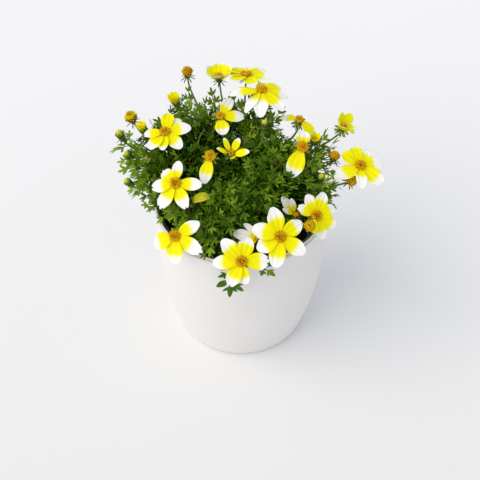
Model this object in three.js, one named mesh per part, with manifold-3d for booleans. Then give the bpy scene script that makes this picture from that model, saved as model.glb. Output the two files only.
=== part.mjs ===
// A potted bidens: a bushy plant with yellow and white flowers in its grower's pot,
// which stands in a round white cachepot.
// Millimetres, +Z up. The origin is the centre of the cachepot's flat base, and the
// side that shows most flowers faces -Y.
import * as THREE from "three";
import { mergeVertices } from "three/addons/utils/BufferGeometryUtils.js";
import Module from "manifold-3d";

const wasm = await Module();
wasm.setup();

// Cachepot
const POT_HEIGHT = 140;
const RIM_RADIUS = 70;
const BASE_RADIUS = 54.5;
const BULGE = 2.9;
const POT_WALL = 2.2;
const POT_FLOOR = 3;
const BASE_EDGE = 1.5;
const POT_STEPS = 7;
const ROUND_SIDES = 40;

// Grower's pot, standing on the cachepot's floor
const GAP = 0.3;
const GROW_BASE_RADIUS = 46;
const GROW_TOP_RADIUS = 63.5;
const GROW_WALL = 1;
const GROW_RIM_Z = POT_HEIGHT - 1.5;
const LIP_RADIUS = 66.8;
const LIP_HEIGHT = 7;
const DRAIN_HOLES = 6;
const DRAIN_RADIUS = 4.5;
const DRAIN_RING = 30;
const DRAIN_SIDES = 8;

// Soil
const SOIL_LEVEL = 125;
const SOIL_CROWN_RADIUS = 52;
const SOIL_DROP = 3;

// Stems
const STEM_RADIUS = 0.9;
const STEM_SIDES = 5;
const STEM_STEPS = 6;
const ROOT_SPREAD = 0.5;
const ROOT_RISE = 0.9;
const NECK_SHARE = 0.33;

// Flower heads, measured along the way that the head faces
const CALYX_HEIGHT = 5;
const CALYX_RADIUS = 3.4;
const CALYX_SHOULDER = 0.4;
const HUB_RADIUS = 4;
const PETAL_START = 3.3;
const PETAL_THICKNESS = 0.8;
const PETAL_WIDTH = 11;
const DISC_RADIUS = 4.6;
const DISC_HEIGHT = 3.4;
const HEAD_SIDES = 8;

// In a small flower the florets stand on the stem, inside the ring of petals
const SMALL_CORE = 2.2;
const SMALL_CORE_HEIGHT = 4.5;

// Leaves
const LEAF_LENGTH = 26;
const LEAF_HALF_WIDTH = 9;
const LEAF_THICKNESS = 0.9;
const LEAF_PAIRS = 5;
const LEAF_LEAN = 55;
const TOP_PAIR_SHARE = 0.98;
const LEAFY_SHARE = 0.6;
const SHOOT_RADIUS = 1.1;
const CLEARANCE = 0.5;

const UP = new THREE.Vector3(0, 0, 1);
const RAD = Math.PI / 180;
const ALMOST_UPRIGHT = 0.01;

const COLOURS = {
  cachepot: [0xe9e7e4, 0.4],
  nursery_pot: [0x2b2d31, 0.55],
  soil: [0x3a2a1e, 1],
  stem: [0x4f7a2c, 0.7],
  foliage: [0x3f7022, 0.65],
  petals: [0xf2e420, 0.55],
  disc: [0xc8761c, 0.8],
  bud: [0x9a9a2a, 0.7],
};

// Open flowers. at is the middle of the head; faces is its heading, in degrees from -Y
// towards +X, and its tilt from straight up. A petal is its angle round the head, its
// length, and where it isn't the flower's own, its lift out of the flower's plane.
const FLOWERS = {
  left_upper: {
    at: [-60, 26, 186],
    faces: [-15, 12],
    petals: [[25, 21], [72, 18], [102, 18], [200, 17], [247, 20], [280, 17], [326, 20]],
  },
  left_middle: {
    at: [-50, -22, 178],
    faces: [-20, 32],
    petals: [[11, 21], [100, 18], [151, 15], [205, 19], [253, 23], [310, 22]],
  },
  front_left: {
    at: [-50, -55, 155],
    faces: [-25, 45],
    neck: 8,
    petals: [[45, 22], [348, 25], [287, 22], [218, 19]],
  },
  front_centre: {
    at: [0, -76, 150],
    faces: [0, 42],
    neck: 7,
    petals: [[0, 21], [72, 19], [131, 22], [183, 22], [244, 21], [279, 18]],
  },
  front_right: {
    at: [29, -62, 162],
    faces: [5, 42],
    petals: [[101, 23], [30, 20], [322, 23], [257, 24], [206, 20], [158, 22]],
  },
  rim_right: {
    at: [57, -39, 160],
    faces: [20, 35],
    petals: [[96, 18], [53, 20], [9, 17], [312, 18], [269, 19], [139, 16]],
  },
  far_right: {
    at: [93, 3, 172],
    faces: [25, 18],
    petals: [[118, 17], [78, 17], [40, 17], [334, 20], [279, 24], [203, 18], [176, 24]],
  },
  back_top: {
    at: [4, 76, 202],
    faces: [170, 18],
    petals: [[12, 13], [68, 19], [122, 19], [178, 18], [230, 20], [290, 20]],
  },
  back_centre: {
    at: [16, 55, 204],
    faces: [150, 6],
    lift: -14,
    petals: [[38, 24], [98, 24], [145, 27], [183, 23], [236, 21], [295, 21]],
  },
};

// Half-open, fading and part-hidden flowers, whose florets are one piece with the stem
const SMALL_FLOWERS = {
  back_cup: {
    at: [-18, 80, 197],
    faces: [200, 10],
    width: 7,
    lift: 50,
    petals: [[0, 14], [60, 14], [120, 14], [180, 14], [240, 14], [300, 14]],
  },
  inner_back: {
    at: [-17, 38, 192],
    faces: [20, 22],
    width: 8,
    petals: [[43, 17], [344, 19], [257, 15]],
  },
  inner_small: {
    at: [-8, 6, 182],
    faces: [0, 20],
    width: 4.5,
    lift: 32,
    petals: [[117, 14], [58, 15], [176, 14], [350, 17]],
  },
  inner_left: {
    at: [-24, 1, 184],
    faces: [-10, 25],
    width: 8.5,
    lift: -12,
    petals: [[265, 22]],
  },
  inner_right: {
    at: [47, 7, 188],
    faces: [15, 25],
    width: 9,
    petals: [[71, 14], [234, 25, -18]],
  },
  back_right: {
    at: [46, 38, 188],
    faces: [0, 5],
    width: 7,
    lift: -15,
    petals: [[159, 14], [320, 17, -30]],
  },
  right_cup: {
    at: [81, 36, 182],
    faces: [60, 20],
    width: 6,
    lift: 45,
    petals: [[20, 12], [100, 12], [180, 12], [250, 13], [310, 15, -35]],
  },
  behind_front: {
    at: [14, -57, 154],
    faces: [-20, 20],
    root: [12, -22],
    neck: 7,
    width: 10,
    petals: [[185, 21], [150, 18, 15], [215, 18]],
  },
};

// Buds and spent heads, one piece each. size is the head's width and height.
const BUDS = {
  spent_rim: { at: [51, -54, 165], faces: [10, 35], size: [9, 6] },
  narrow_bloom: { at: [42, -31, 153], faces: [-60, 20], root: [30, -31], size: [6, 14] },
  bud_back: { at: [-44, 85, 197], faces: [0, 5], size: [9, 8] },
  bud_back_left: { at: [-53, 61, 187], faces: [-70, 15], size: [8, 9] },
  bud_left: { at: [-88, 48, 181], faces: [-80, 15], size: [9, 10] },
  bud_far_left: { at: [-96, 32, 177], faces: [-90, 20], size: [7, 7] },
  spent_right: { at: [73, 13, 172], faces: [60, 15], size: [8, 7] },
  spent_far_right: { at: [86, -3, 162], faces: [60, 35], root: [40, -9], size: [9, 7] },
};

// Leafy shoots: where each leaves the soil, a point that bends it, and its tip
const SHOOTS = {
  left: { root: [-30, 4], bend: [-56, 8, 174], tip: [-84, 6, 172] },
  back_left: { root: [-20, 24], bend: [-30, 40, 172], tip: [-42, 62, 178] },
  back: { root: [6, 28], bend: [8, 44, 170], tip: [16, 66, 176] },
  right: { root: [38, 4], bend: [50, 8, 166], tip: [66, 18, 166] },
  front: { root: [-14, -20], bend: [-20, -30, 164], tip: [-26, -50, 160] },
  spill: { root: [-12, -42], bend: [-10, -80, 160], tip: [-8, -79, 126] },
};

// A closed geometry as a solid, and back
function solidOf(geometry) {
  const bare = geometry.clone();
  bare.deleteAttribute("normal");
  bare.deleteAttribute("uv");
  const merged = mergeVertices(bare, 1e-3);
  return new wasm.Manifold(
    new wasm.Mesh({
      numProp: 3,
      vertProperties: merged.attributes.position.array,
      triVerts: new Uint32Array(merged.index.array),
    }),
  );
}

function geometryOf(solid) {
  const mesh = solid.getMesh();
  const geometry = new THREE.BufferGeometry();
  geometry.setAttribute("position", new THREE.BufferAttribute(mesh.vertProperties, 3));
  geometry.setIndex(new THREE.BufferAttribute(mesh.triVerts, 1));
  const faceted = geometry.toNonIndexed();
  faceted.computeVertexNormals();
  return faceted;
}

function joined(solids) {
  return solids.reduce((all, next) => all.add(next));
}

// A closed solid of revolution round +Z, from a profile of [radius, height] points
function turned(profile, sides) {
  const points = profile.map(([r, z]) => new THREE.Vector2(r, z));
  return new THREE.LatheGeometry(points, sides).rotateX(Math.PI / 2);
}

// An even tube along a curve
function tube(curve, radius, steps) {
  const section = new THREE.Shape();
  for (let i = 0; i < STEM_SIDES; i++) {
    const a = (i / STEM_SIDES) * 2 * Math.PI;
    const [x, y] = [radius * Math.cos(a), radius * Math.sin(a)];
    if (i) section.lineTo(x, y);
    else section.moveTo(x, y);
  }
  return new THREE.ExtrudeGeometry(section, {
    steps,
    extrudePath: curve,
    bevelEnabled: false,
  });
}

// A flat blade in the XY plane that grows along +X from the origin
function blade(outline, thickness) {
  const shape = new THREE.Shape(outline.map(([x, y]) => new THREE.Vector2(x, y)));
  const geometry = new THREE.ExtrudeGeometry(shape, {
    depth: thickness,
    bevelEnabled: false,
  });
  return geometry.translate(0, 0, -thickness / 2);
}

function mesh(name, look, geometry) {
  const [color, roughness] = COLOURS[look];
  const material = new THREE.MeshStandardMaterial({ color, roughness, metalness: 0 });
  const made = new THREE.Mesh(geometry, material);
  made.name = name;
  return made;
}

function potRadius(z) {
  const share = 1 - (1 - z / POT_HEIGHT) ** BULGE;
  return BASE_RADIUS + (RIM_RADIUS - BASE_RADIUS) * share;
}

function cachepot() {
  const outside = [];
  const inside = [];
  for (let i = 0; i <= POT_STEPS; i++) {
    const z = BASE_EDGE + ((POT_HEIGHT - BASE_EDGE) * i) / POT_STEPS;
    outside.push([potRadius(z), z]);
    const zIn = POT_FLOOR + ((POT_HEIGHT - POT_FLOOR) * i) / POT_STEPS;
    inside.unshift([potRadius(zIn) - POT_WALL, zIn]);
  }
  const profile = [
    [0, 0],
    [BASE_RADIUS - BASE_EDGE, 0],
    ...outside,
    ...inside,
    [0, POT_FLOOR],
  ];
  return mesh("cachepot", "cachepot", turned(profile, ROUND_SIDES));
}

function growRadius(z) {
  const share = (z - POT_FLOOR) / (GROW_RIM_Z - POT_FLOOR);
  return GROW_BASE_RADIUS + (GROW_TOP_RADIUS - GROW_BASE_RADIUS) * share;
}

function nurseryPot() {
  const bottom = POT_FLOOR + GAP;
  const lipFoot = GROW_RIM_Z - LIP_HEIGHT;
  const profile = [
    [0, bottom],
    [growRadius(bottom), bottom],
    [growRadius(lipFoot - GROW_WALL), lipFoot - GROW_WALL],
    [LIP_RADIUS - GROW_WALL / 2, lipFoot],
    [LIP_RADIUS, GROW_RIM_Z],
    [LIP_RADIUS - GROW_WALL, GROW_RIM_Z],
    [LIP_RADIUS - 2 * GROW_WALL, lipFoot + GROW_WALL],
    [growRadius(lipFoot) - GROW_WALL, lipFoot],
    [growRadius(bottom) - GROW_WALL, bottom + GROW_WALL],
    [0, bottom + GROW_WALL],
  ];
  let pot = solidOf(turned(profile, ROUND_SIDES));
  for (let i = 0; i < DRAIN_HOLES; i++) {
    const a = (i / DRAIN_HOLES) * 2 * Math.PI;
    const drill = new THREE.CylinderGeometry(
      DRAIN_RADIUS,
      DRAIN_RADIUS,
      4 * GROW_WALL,
      DRAIN_SIDES,
    ).rotateX(Math.PI / 2);
    drill.translate(DRAIN_RING * Math.cos(a), DRAIN_RING * Math.sin(a), bottom);
    pot = pot.subtract(solidOf(drill));
  }
  return mesh("nursery_pot", "nursery_pot", geometryOf(pot));
}

function soil() {
  const bottom = POT_FLOOR + 2 * GAP + GROW_WALL;
  const edge = SOIL_LEVEL - SOIL_DROP;
  const profile = [
    [0, bottom],
    [growRadius(bottom) - GROW_WALL - GAP, bottom],
    [growRadius(edge) - GROW_WALL - GAP, edge],
    [SOIL_CROWN_RADIUS, SOIL_LEVEL],
    [0, SOIL_LEVEL],
  ];
  return mesh("soil", "soil", turned(profile, ROUND_SIDES));
}

// The frame of a head: its own +Z is the way it faces
function headFrame({ at, faces: [heading, tilt] }) {
  const frame = new THREE.Matrix4().makeRotationZ(heading * RAD);
  frame.multiply(new THREE.Matrix4().makeRotationX(tilt * RAD));
  return frame.setPosition(...at);
}

function placed(geometry, frame) {
  return solidOf(geometry.applyMatrix4(frame));
}

// The stem rises straight out of the soil and turns to meet the head from behind
function stemCurve(head) {
  const top = new THREE.Vector3(...head.at);
  const [x, y] = head.root ?? [top.x * ROOT_SPREAD, top.y * ROOT_SPREAD];
  const root = new THREE.Vector3(x, y, SOIL_LEVEL + GAP);
  const facing = UP.clone().transformDirection(headFrame(head));
  const neck = head.neck ?? NECK_SHARE * root.distanceTo(top);
  const rise = ROOT_RISE * (top.z - root.z);
  const end = top.clone().addScaledVector(facing, -CALYX_HEIGHT / 2);
  return new THREE.CubicBezierCurve3(
    root,
    root.clone().addScaledVector(UP, rise),
    end.clone().addScaledVector(facing, -neck),
    end,
  );
}

// The calyx, a cup of green bracts that holds the head
function calyx(margin) {
  const foot = STEM_RADIUS + margin;
  return turned(
    [
      [0, -CALYX_HEIGHT - margin],
      [foot, -CALYX_HEIGHT - margin],
      [CALYX_RADIUS + margin, -CALYX_HEIGHT * CALYX_SHOULDER],
      [CALYX_RADIUS + margin, margin],
      [0, margin],
    ],
    HEAD_SIDES,
  );
}

// A dome, flat below, of the florets in the middle of a head or of a bud
function dome(radius, height, base, margin) {
  const r = radius + margin;
  const top = base + height + margin;
  return turned(
    [
      [0, base - margin],
      [r * 0.9, base - margin],
      [r, base + height * 0.35],
      [r * 0.7, base + height * 0.85],
      [0, top],
    ],
    HEAD_SIDES,
  );
}

function stemSolid(head, parts, margin = 0) {
  const frame = headFrame(head);
  return joined([
    solidOf(tube(stemCurve(head), STEM_RADIUS + margin, STEM_STEPS)),
    placed(calyx(margin), frame),
    ...parts.map((part) => placed(part, frame)),
  ]);
}

function petalOutline(length, width, margin) {
  const half = [
    [0, width * 0.2],
    [length * 0.5, width * 0.5],
    [length * 0.85, width * 0.42],
    [length, width * 0.12],
  ].map(([x, y]) => [x + (x > 0 ? margin : 0), y + margin]);
  return [...half.map(([x, y]) => [x, -y]), ...half.reverse()];
}

// All of one flower's petals, joined by the ring that they grow from
function petalRing({ petals, width = PETAL_WIDTH, lift = 0 }, hubInside, margin = 0) {
  const thick = PETAL_THICKNESS + 2 * margin;
  const level = GAP + PETAL_THICKNESS / 2;
  const hub = new THREE.CylinderGeometry(
    HUB_RADIUS + margin,
    HUB_RADIUS + margin,
    thick,
    HEAD_SIDES,
  ).rotateX(Math.PI / 2);
  const blades = petals.map(([angle, length, ownLift = lift]) => {
    const outline = petalOutline(length - PETAL_START, width, margin);
    return blade(outline, thick)
      .rotateY(-ownLift * RAD)
      .translate(PETAL_START, 0, 0)
      .rotateZ(angle * RAD);
  });
  let ring = joined([hub, ...blades].map(solidOf));
  if (hubInside) {
    const hole = new THREE.CylinderGeometry(
      hubInside - margin,
      hubInside - margin,
      4 * HUB_RADIUS,
      HEAD_SIDES,
    ).rotateX(Math.PI / 2);
    ring = ring.subtract(solidOf(hole));
  }
  return ring.translate([0, 0, level]);
}

function bareFlower(name, head) {
  const flower = new THREE.Group();
  flower.position.set(...head.at);
  flower.rotation.set(head.faces[1] * RAD, 0, head.faces[0] * RAD, "ZXY");
  const discBase = 2 * GAP + PETAL_THICKNESS;
  flower.add(
    mesh("petals_" + name, "petals", geometryOf(petalRing(head, 0))),
    mesh("disc_" + name, "disc", dome(DISC_RADIUS, DISC_HEIGHT, discBase, 0)),
  );
  const stem = mesh("stem_" + name, "stem", geometryOf(stemSolid(head, [])));
  return [stem, flower];
}

function smallFlower(name, head) {
  const core = dome(SMALL_CORE, SMALL_CORE_HEIGHT, -GAP, 0);
  const flower = new THREE.Group();
  flower.position.set(...head.at);
  flower.rotation.set(head.faces[1] * RAD, 0, head.faces[0] * RAD, "ZXY");
  const ring = petalRing(head, SMALL_CORE + GAP);
  flower.add(mesh("petals_" + name, "petals", geometryOf(ring)));
  const stem = mesh("stem_" + name, "stem", geometryOf(stemSolid(head, [core])));
  return [stem, flower];
}

function bud(name, head) {
  const [width, height] = head.size;
  const top = dome(width / 2, height, -GAP, 0);
  return mesh(name, "bud", geometryOf(stemSolid(head, [top])));
}

// What the leaves must keep clear of: every stem, head and petal, made a little fatter
function fatHeads() {
  const all = [];
  for (const head of [...Object.values(FLOWERS), ...Object.values(SMALL_FLOWERS)]) {
    const core = dome(DISC_RADIUS, DISC_HEIGHT, 2 * GAP + PETAL_THICKNESS, CLEARANCE);
    all.push(stemSolid(head, [core], CLEARANCE));
    all.push(petalRing(head, 0, CLEARANCE).transform(headFrame(head).toArray()));
  }
  for (const head of Object.values(BUDS)) {
    const [width, height] = head.size;
    all.push(stemSolid(head, [dome(width / 2, height, 0, CLEARANCE)], CLEARANCE));
  }
  return all;
}

function fatPots() {
  const clear = CLEARANCE + GAP;
  const rim = turned(
    [
      [LIP_RADIUS - 2 * GROW_WALL - clear, 0],
      [LIP_RADIUS - 2 * GROW_WALL - clear, POT_HEIGHT + clear],
      [RIM_RADIUS + clear, POT_HEIGHT + clear],
      [RIM_RADIUS + clear, 0],
      [LIP_RADIUS - 2 * GROW_WALL - clear, 0],
    ].reverse(),
    ROUND_SIDES,
  );
  const floor = turned(
    [
      [0, 0],
      [RIM_RADIUS - POT_WALL, 0],
      [RIM_RADIUS - POT_WALL, SOIL_LEVEL + clear],
      [0, SOIL_LEVEL + clear],
    ],
    ROUND_SIDES,
  );
  return [rim, floor].map(solidOf);
}

// A lobed leaf, growing along +X
function leafBlade(margin) {
  const half = [
    [0, 0.03],
    [0.34, 0.07],
    [0.46, 1],
    [0.6, 0.42],
    [0.78, 0.66],
    [1, 0.06],
  ].map(([x, y]) => [x * LEAF_LENGTH + (x ? margin : 0), y * LEAF_HALF_WIDTH + margin]);
  const outline = [...half.map(([x, y]) => [x, -y]), ...half.reverse()];
  return blade(outline, LEAF_THICKNESS + 2 * margin);
}

// The frame of one leaf of a pair: it leaves the stem at a lean, and each pair stands
// crosswise to the pair below it
function leafFrame(curve, share, pair, side) {
  const at = curve.getPointAt(share);
  const along = curve.getTangentAt(share);
  const across = new THREE.Vector3().crossVectors(along, UP);
  if (across.lengthSq() < ALMOST_UPRIGHT) across.set(1, 0, 0);
  across.normalize();
  across.applyAxisAngle(along, pair * 90 * RAD + side * 180 * RAD);
  const way = along.clone().multiplyScalar(Math.cos(LEAF_LEAN * RAD));
  way.addScaledVector(across, Math.sin(LEAF_LEAN * RAD)).normalize();
  const width = new THREE.Vector3().crossVectors(UP, way);
  if (width.lengthSq() < ALMOST_UPRIGHT) width.crossVectors(along, way);
  width.normalize();
  const normal = new THREE.Vector3().crossVectors(way, width);
  return new THREE.Matrix4().makeBasis(way, width, normal).setPosition(at);
}

function meets(solid, others) {
  return others.some((other) => !solid.intersect(other).isEmpty());
}

// A shoot keeps each leaf that has room
function shoot(name, { root, bend, tip }, obstacles) {
  const start = new THREE.Vector3(root[0], root[1], SOIL_LEVEL + GAP);
  const middle = new THREE.Vector3(...bend);
  const over = start.clone().addScaledVector(UP, (middle.z - start.z) * ROOT_RISE);
  const curve = new THREE.CubicBezierCurve3(start, over, middle, new THREE.Vector3(...tip));
  const stem = solidOf(tube(curve, SHOOT_RADIUS, STEM_STEPS));
  const kept = [stem];
  const fat = [solidOf(tube(curve, SHOOT_RADIUS + CLEARANCE, STEM_STEPS))];
  for (let pair = 0; pair < LEAF_PAIRS; pair++) {
    const share = TOP_PAIR_SHARE - (LEAFY_SHARE * pair) / LEAF_PAIRS;
    for (const side of [0, 1]) {
      const frame = leafFrame(curve, share, pair, side);
      const wide = placed(leafBlade(CLEARANCE), frame);
      if (meets(wide, obstacles)) continue;
      kept.push(placed(leafBlade(0), frame));
      fat.push(wide);
    }
  }
  obstacles.push(...fat);
  return mesh("shoot_" + name, "foliage", geometryOf(joined(kept)));
}

function plant() {
  const group = new THREE.Group();
  for (const [name, head] of Object.entries(FLOWERS)) group.add(...bareFlower(name, head));
  for (const [name, head] of Object.entries(SMALL_FLOWERS)) {
    group.add(...smallFlower(name, head));
  }
  for (const [name, head] of Object.entries(BUDS)) group.add(bud(name, head));
  const obstacles = [...fatHeads(), ...fatPots()];
  for (const [name, way] of Object.entries(SHOOTS)) group.add(shoot(name, way, obstacles));
  return group;
}

const pottedBidens = new THREE.Group();
pottedBidens.name = "potted_bidens";
pottedBidens.add(cachepot(), nurseryPot(), soil(), plant());

export default pottedBidens;
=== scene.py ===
"""A potted bidens: a bushy plant with feathery leaves and yellow flowers with white petal tips,
in its dark grower's pot, which stands in a round white cachepot.

Shapes are made in millimetres and become metres where a piece is made.
"""
import math

import bpy
import numpy as np
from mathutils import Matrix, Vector


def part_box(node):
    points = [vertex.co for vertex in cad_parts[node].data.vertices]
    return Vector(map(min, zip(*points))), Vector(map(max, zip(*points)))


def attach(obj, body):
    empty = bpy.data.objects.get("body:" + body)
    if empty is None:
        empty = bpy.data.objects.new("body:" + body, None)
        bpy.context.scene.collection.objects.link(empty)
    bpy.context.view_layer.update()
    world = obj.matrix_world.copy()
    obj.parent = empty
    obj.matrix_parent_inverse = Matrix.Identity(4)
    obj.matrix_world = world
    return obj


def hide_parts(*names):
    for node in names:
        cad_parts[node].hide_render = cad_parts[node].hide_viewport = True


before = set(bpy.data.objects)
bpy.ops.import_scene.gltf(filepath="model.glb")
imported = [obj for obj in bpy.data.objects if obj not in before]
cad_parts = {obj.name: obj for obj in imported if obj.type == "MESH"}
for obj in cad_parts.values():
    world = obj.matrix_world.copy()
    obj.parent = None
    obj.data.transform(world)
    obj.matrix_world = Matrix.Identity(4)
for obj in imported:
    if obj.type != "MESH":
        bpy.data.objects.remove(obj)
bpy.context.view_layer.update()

MM = 0.001
GOLDEN_ANGLE = 137.508
UP = np.array([0.0, 0.0, 1.0])
TOUCH = 0.05

# Camera, in metres and degrees, with its lens and sensor in mm. It looks down at the plant, as
# the photograph does
CAMERA_TARGET = (-0.00107, 0.0, 0.08817)
CAMERA_DISTANCE = 0.9
CAMERA_ELEVATION = 48.5
CAMERA_LENS = 80.4
CAMERA_SENSOR = 36.0

# Light. The key shines from its place towards the origin, and is as wide as its spread
WORLD_COLOUR = (0.90, 0.935, 1.0)
WORLD_STRENGTH = 0.74
KEY_PLACE = (-0.72, -0.30, 0.72)
KEY_SPREAD = 64.0
KEY_STRENGTH = 1.6
KEY_COLOUR = (1.0, 0.93, 0.81)
FLOOR_RADIUS = 14.0
# The floor's colour is painted shade and light: darker towards the front and the right, where the
# plant's broad shadow falls, and lighter towards the back. FLOOR_NEAR and FLOOR_FAR bound this
# change, and FLOOR_SLANT turns it towards the right.
FLOOR_NEAR = 0.25
FLOOR_FAR = 0.45
FLOOR_SLANT = 0.35
FLOOR_SIDES = 64
FLOOR_PAINTED_SHADE = [
    (0.0, (0.825, 0.825, 0.828)),
    (0.3, (0.862, 0.862, 0.868)),
    (1.0, (0.908, 0.908, 0.925)),
]

# Cachepot. Its bulge says how early its side reaches the rim's width
POT_BULGE = 2.9
POT_WALL = 2.2
POT_FLOOR = 3.0
POT_EDGE = 1.5
POT_RIM_ROUND = 1.1
POT_RIM_FROM = 8.594
POT_SIDES = 160
POT_STEPS = 28

# Grower's pot
LIP_HEIGHT = 7.0
LIP_WALL = 1.0
LIP_BEAD = 0.7
LIP_WIDTH = 3.5
GROWER_FOOT = 46.0
GROWER_NECK = 62.5
GROWER_STEPS = 12

# Soil
SOIL_FOOT = 0.86
SOIL_RINGS = 26
SOIL_SIDES = 90
SOIL_SINK = 3.0
SOIL_SINKS_FROM = 0.85
SOIL_MIDDLE = 0.04
SOIL_BUMPS = (-0.9, 0.4)
CLODS = 420
CLOD_SIZES = (0.7, 2.2)
CLOD_REACH = 0.97
CLOD_SINK = 0.4
PERLITE_SHARE = 0.12
PERLITE_SIZE = 0.7

# Stems and heads, as the CAD model has them
CALYX_HEIGHT = 5.0
NECK_SHARE = 0.33
ROOT_RISE = 0.9
SMALL_CORE_TOP = 4.2
BUD_BASE = -0.3

# Stems and where petals start, as only this script has them
ROOT_DEPTH = 3.0
STEM_THICK = 0.95
STEM_THIN = 0.72
STEM_STEPS = 26
STEM_SIDES = 8
PETAL_START = 2.9
PETAL_LEVEL = 0.7
BUD_PETAL_START = 2.0

# Petals: thickness and layer in mm, curl, pitch and spreads in degrees, and from there on shares
# of a petal's width or length, with notches for each kind of teeth
PETAL_ROWS = 19
PETAL_COLUMNS = 17
PETAL_THICKNESS = 0.32
PETAL_CURL = 12
PETAL_PITCH = 7
CURL_SPREAD = 5
LIFT_SPREAD = 3
PITCH_SPREAD = 2
PETAL_LAYER = 0.12
PETAL_CUP = 0.10
FOOT_WIDTH = 0.28
WIDEST_AT = 0.52
END_TAPER = 0.2
GROOVE_DEPTH = 0.019
WAVE_DEPTH = 0.03
NOTCH_WIDTH = 0.12
NOTCHES = {0: (), 1: (0.0,), 2: (0.0,), 3: (-0.36, 0.36)}
NOTCH_DEPTHS = {0: 0.0, 1: 0.05, 2: 0.1, 3: 0.1}

# Discs
DISC_RADIUS = 3.9
DISC_DOME = 1.3
FLORETS = 44
SPARE_FLORETS = 5
FLORET_SIZE = 0.85

random = np.random.default_rng(7)


def either_way(most, *shape):
    """A random number from minus to plus an amount, or an array of them."""
    return random.uniform(-most, most, *shape)


def petal(angle, length, width=None, white=None, **look):
    """One petal: its angle round the head, its length, its width where the head doesn't state
    it, the share of its length where its white starts, and its lift, curl and teeth."""
    return {"angle": angle, "length": length, "width": width, "white": white, **look}


def bloom(faces, petals, **look):
    """A flower or bud: its heading from -Y towards +X and its tilt from straight up, its
    petals, and what else its look states."""
    return {"faces": faces, "petals": petals, **look}


# Open flowers, which a neck in mm bends more or less sharply to the way they face
FLOWERS = {
    "left_upper": bloom((-15, 12), [
        petal(25, 21, 11.5, 0.55), petal(62, 18, 9, 0.45, lift=-4),
        petal(94, 18, 10.5, 0.95, lift=12), petal(200, 17, 10.5, 0.66, teeth=2),
        petal(247, 20, 11, 0.66, teeth=1), petal(280, 17, 9, 0.76), petal(326, 20, 11, 0.6),
    ]),
    "left_middle": bloom((-20, 32), [
        petal(11, 21, 10, 0.52, teeth=1), petal(100, 18, 8.5, 0.45),
        petal(151, 15, 10.5, 0.62, teeth=3), petal(205, 19, 11, 0.5, teeth=2),
        petal(253, 23, 11.5, 0.52, teeth=3), petal(310, 22, 11, 0.56, teeth=2),
    ]),
    "front_left": bloom((-25, 45), [
        petal(45, 22, 10.5, 0.56), petal(348, 25, 12.5, 0.5, teeth=3), petal(287, 22, 14, 0.64),
        petal(218, 19, 13.5, 0.7),
    ], neck=8),
    "front_centre": bloom((0, 42), [
        petal(0, 21, 13, 0.62, teeth=3), petal(72, 19, 12, 0.66), petal(131, 22, 12.5, 0.58),
        petal(183, 22, 11.5, 0.62, teeth=1), petal(244, 21, 12, 0.62, teeth=2),
        petal(281, 18, 8.5, 0.64),
    ], neck=7),
    "front_right": bloom((5, 42), [
        petal(101, 23, 13, 0.56), petal(30, 20, 12.5, 0.62), petal(322, 23, 12.5, 0.58),
        petal(257, 24, 13, 0.62), petal(206, 20, 13, 0.62), petal(158, 22, 13, 0.58),
    ]),
    "rim_right": bloom((20, 35), [
        petal(96, 18, 10, 0.55), petal(53, 20, 10.5, 0.6), petal(9, 17, 9, 0.66, curl=30),
        petal(316, 18, 10, 0.72, curl=26), petal(269, 19, 10, 0.62),
        petal(139, 16, 9, 0.62, teeth=2),
    ]),
    "far_right": bloom((25, 18), [
        petal(118, 18, 12, 0.95), petal(80, 18, 11.5, 0.9), petal(40, 17, 10, 0.62),
        petal(345, 19, 11.5, 0.52), petal(295, 23, 13, 0.66, teeth=2), petal(248, 20, 9, 0.42),
        petal(186, 24, 13, 0.58),
    ]),
    "back_top": bloom((170, 18), [
        petal(12, 19, 13, 1.0), petal(62, 19, 12, 0.85), petal(118, 19, 12, 0.8),
        petal(172, 20, 11, 0.66), petal(228, 20, 11, 0.7), petal(295, 20, 12, 0.8),
        petal(335, 19, 12, 1.0),
    ]),
    "back_centre": bloom((150, 6), [
        petal(38, 26, 13, 0.6, lift=-6), petal(84, 24, 9, 0.36, lift=-24),
        petal(118, 25, 12, 0.34, lift=-26), petal(163, 26, 11, 0.62, lift=-16),
        petal(205, 22, 9, 0.6), petal(246, 20, 11, 0.85), petal(300, 18, 11, 0.85),
    ], lift=-14),
}

# Half-open, fading and part-hidden flowers, with the size of each disc beside an open one
SMALL_FLOWERS = {
    "back_cup": bloom((200, 10), [
        petal(60 * k + 8, 14, curl=-34, white=0.84) for k in range(6)
    ], width=11, lift=34, disc=0.62),
    "inner_back": bloom((20, 22), [
        petal(43, 20, white=0.45), petal(344, 20, white=0.55, teeth=2), petal(262, 16, 11.5, 0.62),
    ], width=9.5, disc=0.72),
    "inner_small": bloom((0, 20), [
        petal(117, 14, white=0.82), petal(58, 14, 6, 0.78), petal(168, 13, 4, 0.85),
        petal(350, 17, 6.5, 0.8), petal(290, 8, 5, 1.0, lift=55),
    ], width=4.6, lift=36, disc=0.42),
    "inner_left": bloom((-10, 25), [petal(265, 22, white=0.6)], width=11, lift=-12, disc=1.0),
    "inner_right": bloom((15, 25), [
        petal(71, 14, 12, 0.5), petal(236, 25, 14, 0.66, lift=-18),
    ], width=9, disc=1.0),
    "back_right": bloom((0, 5), [
        petal(159, 15, white=0.6), petal(320, 17, lift=-30, white=0.85),
    ], width=8.5, lift=-15, disc=0.75),
    "right_cup": bloom((60, 20), [
        *[petal(60 * k + 10, 14, curl=-16, white=0.94) for k in range(5)],
        petal(318, 15, lift=-32, white=0.95, teeth=2),
    ], width=8.5, lift=56, disc=0.45),
    "behind_front": bloom((-20, 20), [
        petal(185, 21, white=0.3), petal(150, 18, 5, 0.3, lift=15, curl=50),
        petal(215, 18, white=0.3),
    ], neck=7, width=10, disc=0.7),
}

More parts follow.
